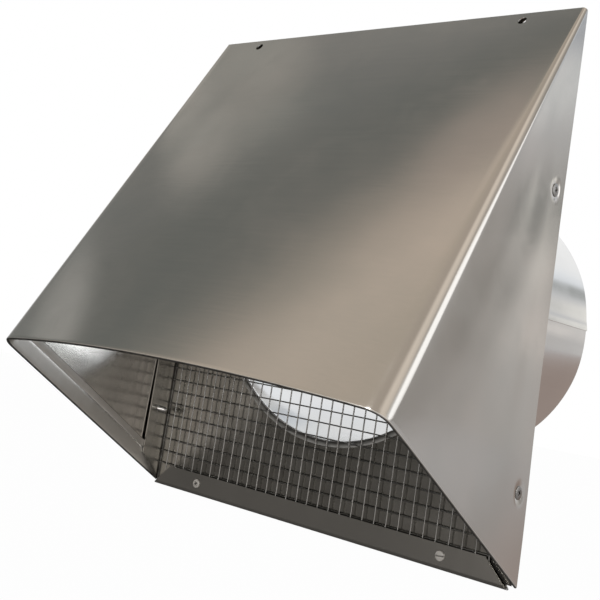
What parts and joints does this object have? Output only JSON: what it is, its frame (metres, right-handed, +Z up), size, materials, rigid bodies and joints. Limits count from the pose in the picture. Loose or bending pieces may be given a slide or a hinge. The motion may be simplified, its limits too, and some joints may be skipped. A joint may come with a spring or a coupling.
{
  "type": "vent hood",
  "caption": "Wall vent hood folded from stainless sheet, with a sloping front, open mouth, wire screen and round duct collar behind.",
  "frame": {"origin": "on the duct collar's axis, in the wall plane at the back plate's rear face", "axes": "+Z up, mouth towards -Y, duct collar running back along +Y, X across the hood"},
  "size_m": [0.2134, 0.2456, 0.2473],
  "materials": {
    "hood_sheet": "mill-finished stainless sheet, softly reflective",
    "plate_sheet": "mill-finished stainless sheet",
    "collar_sheet": "bright stainless sheet, rolled",
    "screen_wire": "galvanised wire",
    "screw_steel": "plain bright steel"
  },
  "bodies": {
    "root": {"hood_shell": "hood_sheet", "back_plate": "plate_sheet", "duct_collar": "collar_sheet", "wire_screen": "screen_wire", "side_screws": "screw_steel", "lip_screws": "screw_steel"}
  },
  "joints": []
}
